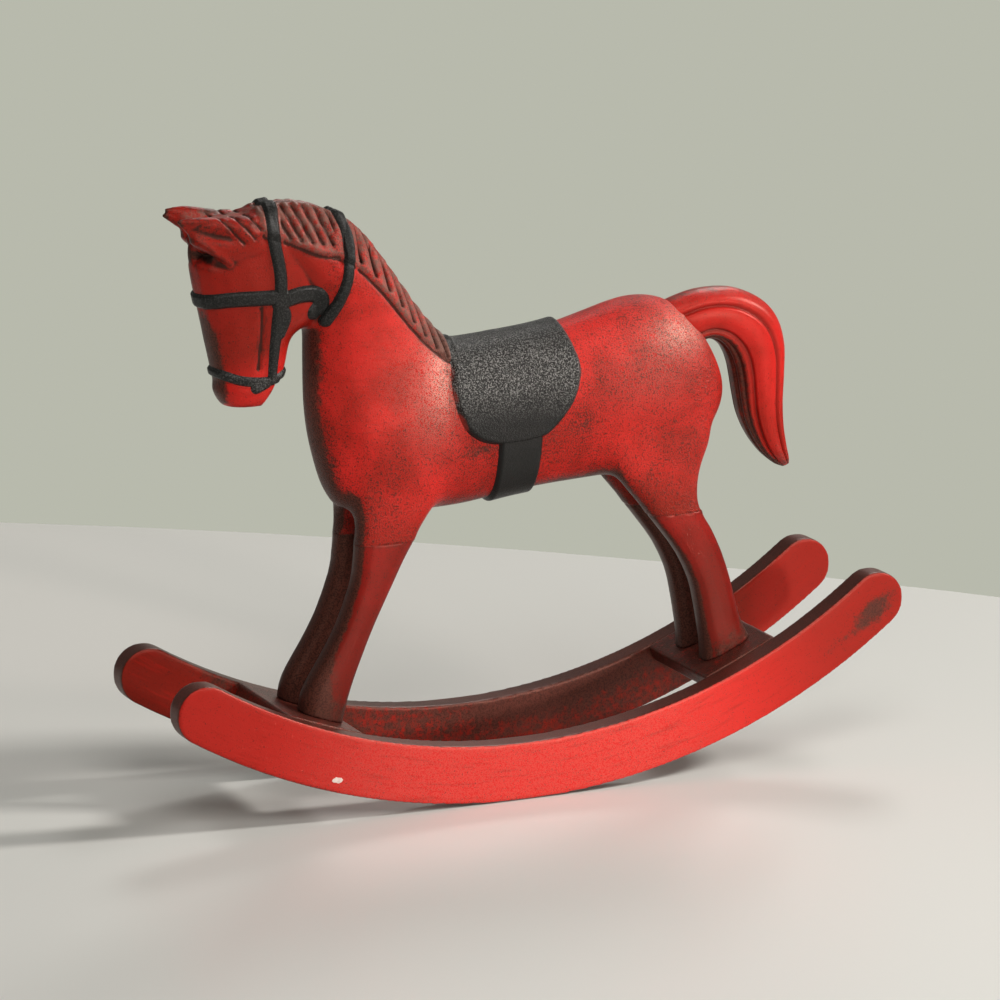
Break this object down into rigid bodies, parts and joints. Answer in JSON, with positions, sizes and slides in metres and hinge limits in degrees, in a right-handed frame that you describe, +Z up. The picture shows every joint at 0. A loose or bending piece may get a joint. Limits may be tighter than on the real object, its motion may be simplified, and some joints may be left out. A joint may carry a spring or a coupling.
{
  "type": "rocking horse ornament",
  "caption": "Small carved wooden rocking horse with painted saddle and bridle, standing on curved rocker boards joined by cross slats.",
  "frame": {"origin": "on the line where both rockers touch the table, halfway between the rockers", "axes": "+Z up, the horse faces -X, its left side is -Y"},
  "size_m": [0.1814, 0.043, 0.1398],
  "materials": {
    "red_paint": "distressed red paint over wood, rubbed dark on the edges, satin",
    "black_paint": "rough black paint over carved relief, satin",
    "bare_wood": "bare beech",
    "screw_steel": "zinc plated"
  },
  "bodies": {
    "root": {"horse_body": "red_paint", "front_left_leg": "red_paint", "front_right_leg": "red_paint", "rear_left_leg": "red_paint", "rear_right_leg": "red_paint", "tail": "red_paint", "left_rocker": "red_paint", "right_rocker": "red_paint", "front_slat": "red_paint", "rear_slat": "red_paint", "saddle": "black_paint", "girth": "black_paint", "headpiece": "black_paint", "browband": "black_paint", "noseband": "black_paint", "throat_latch": "black_paint", "front_leg_dowels": "bare_wood", "rear_leg_dowels": "bare_wood", "tail_dowel": "bare_wood", "left_slat_pins": "bare_wood", "right_slat_pins": "bare_wood", "front_foot_screws": "screw_steel", "rear_foot_screws": "screw_steel"}
  },
  "joints": []
}
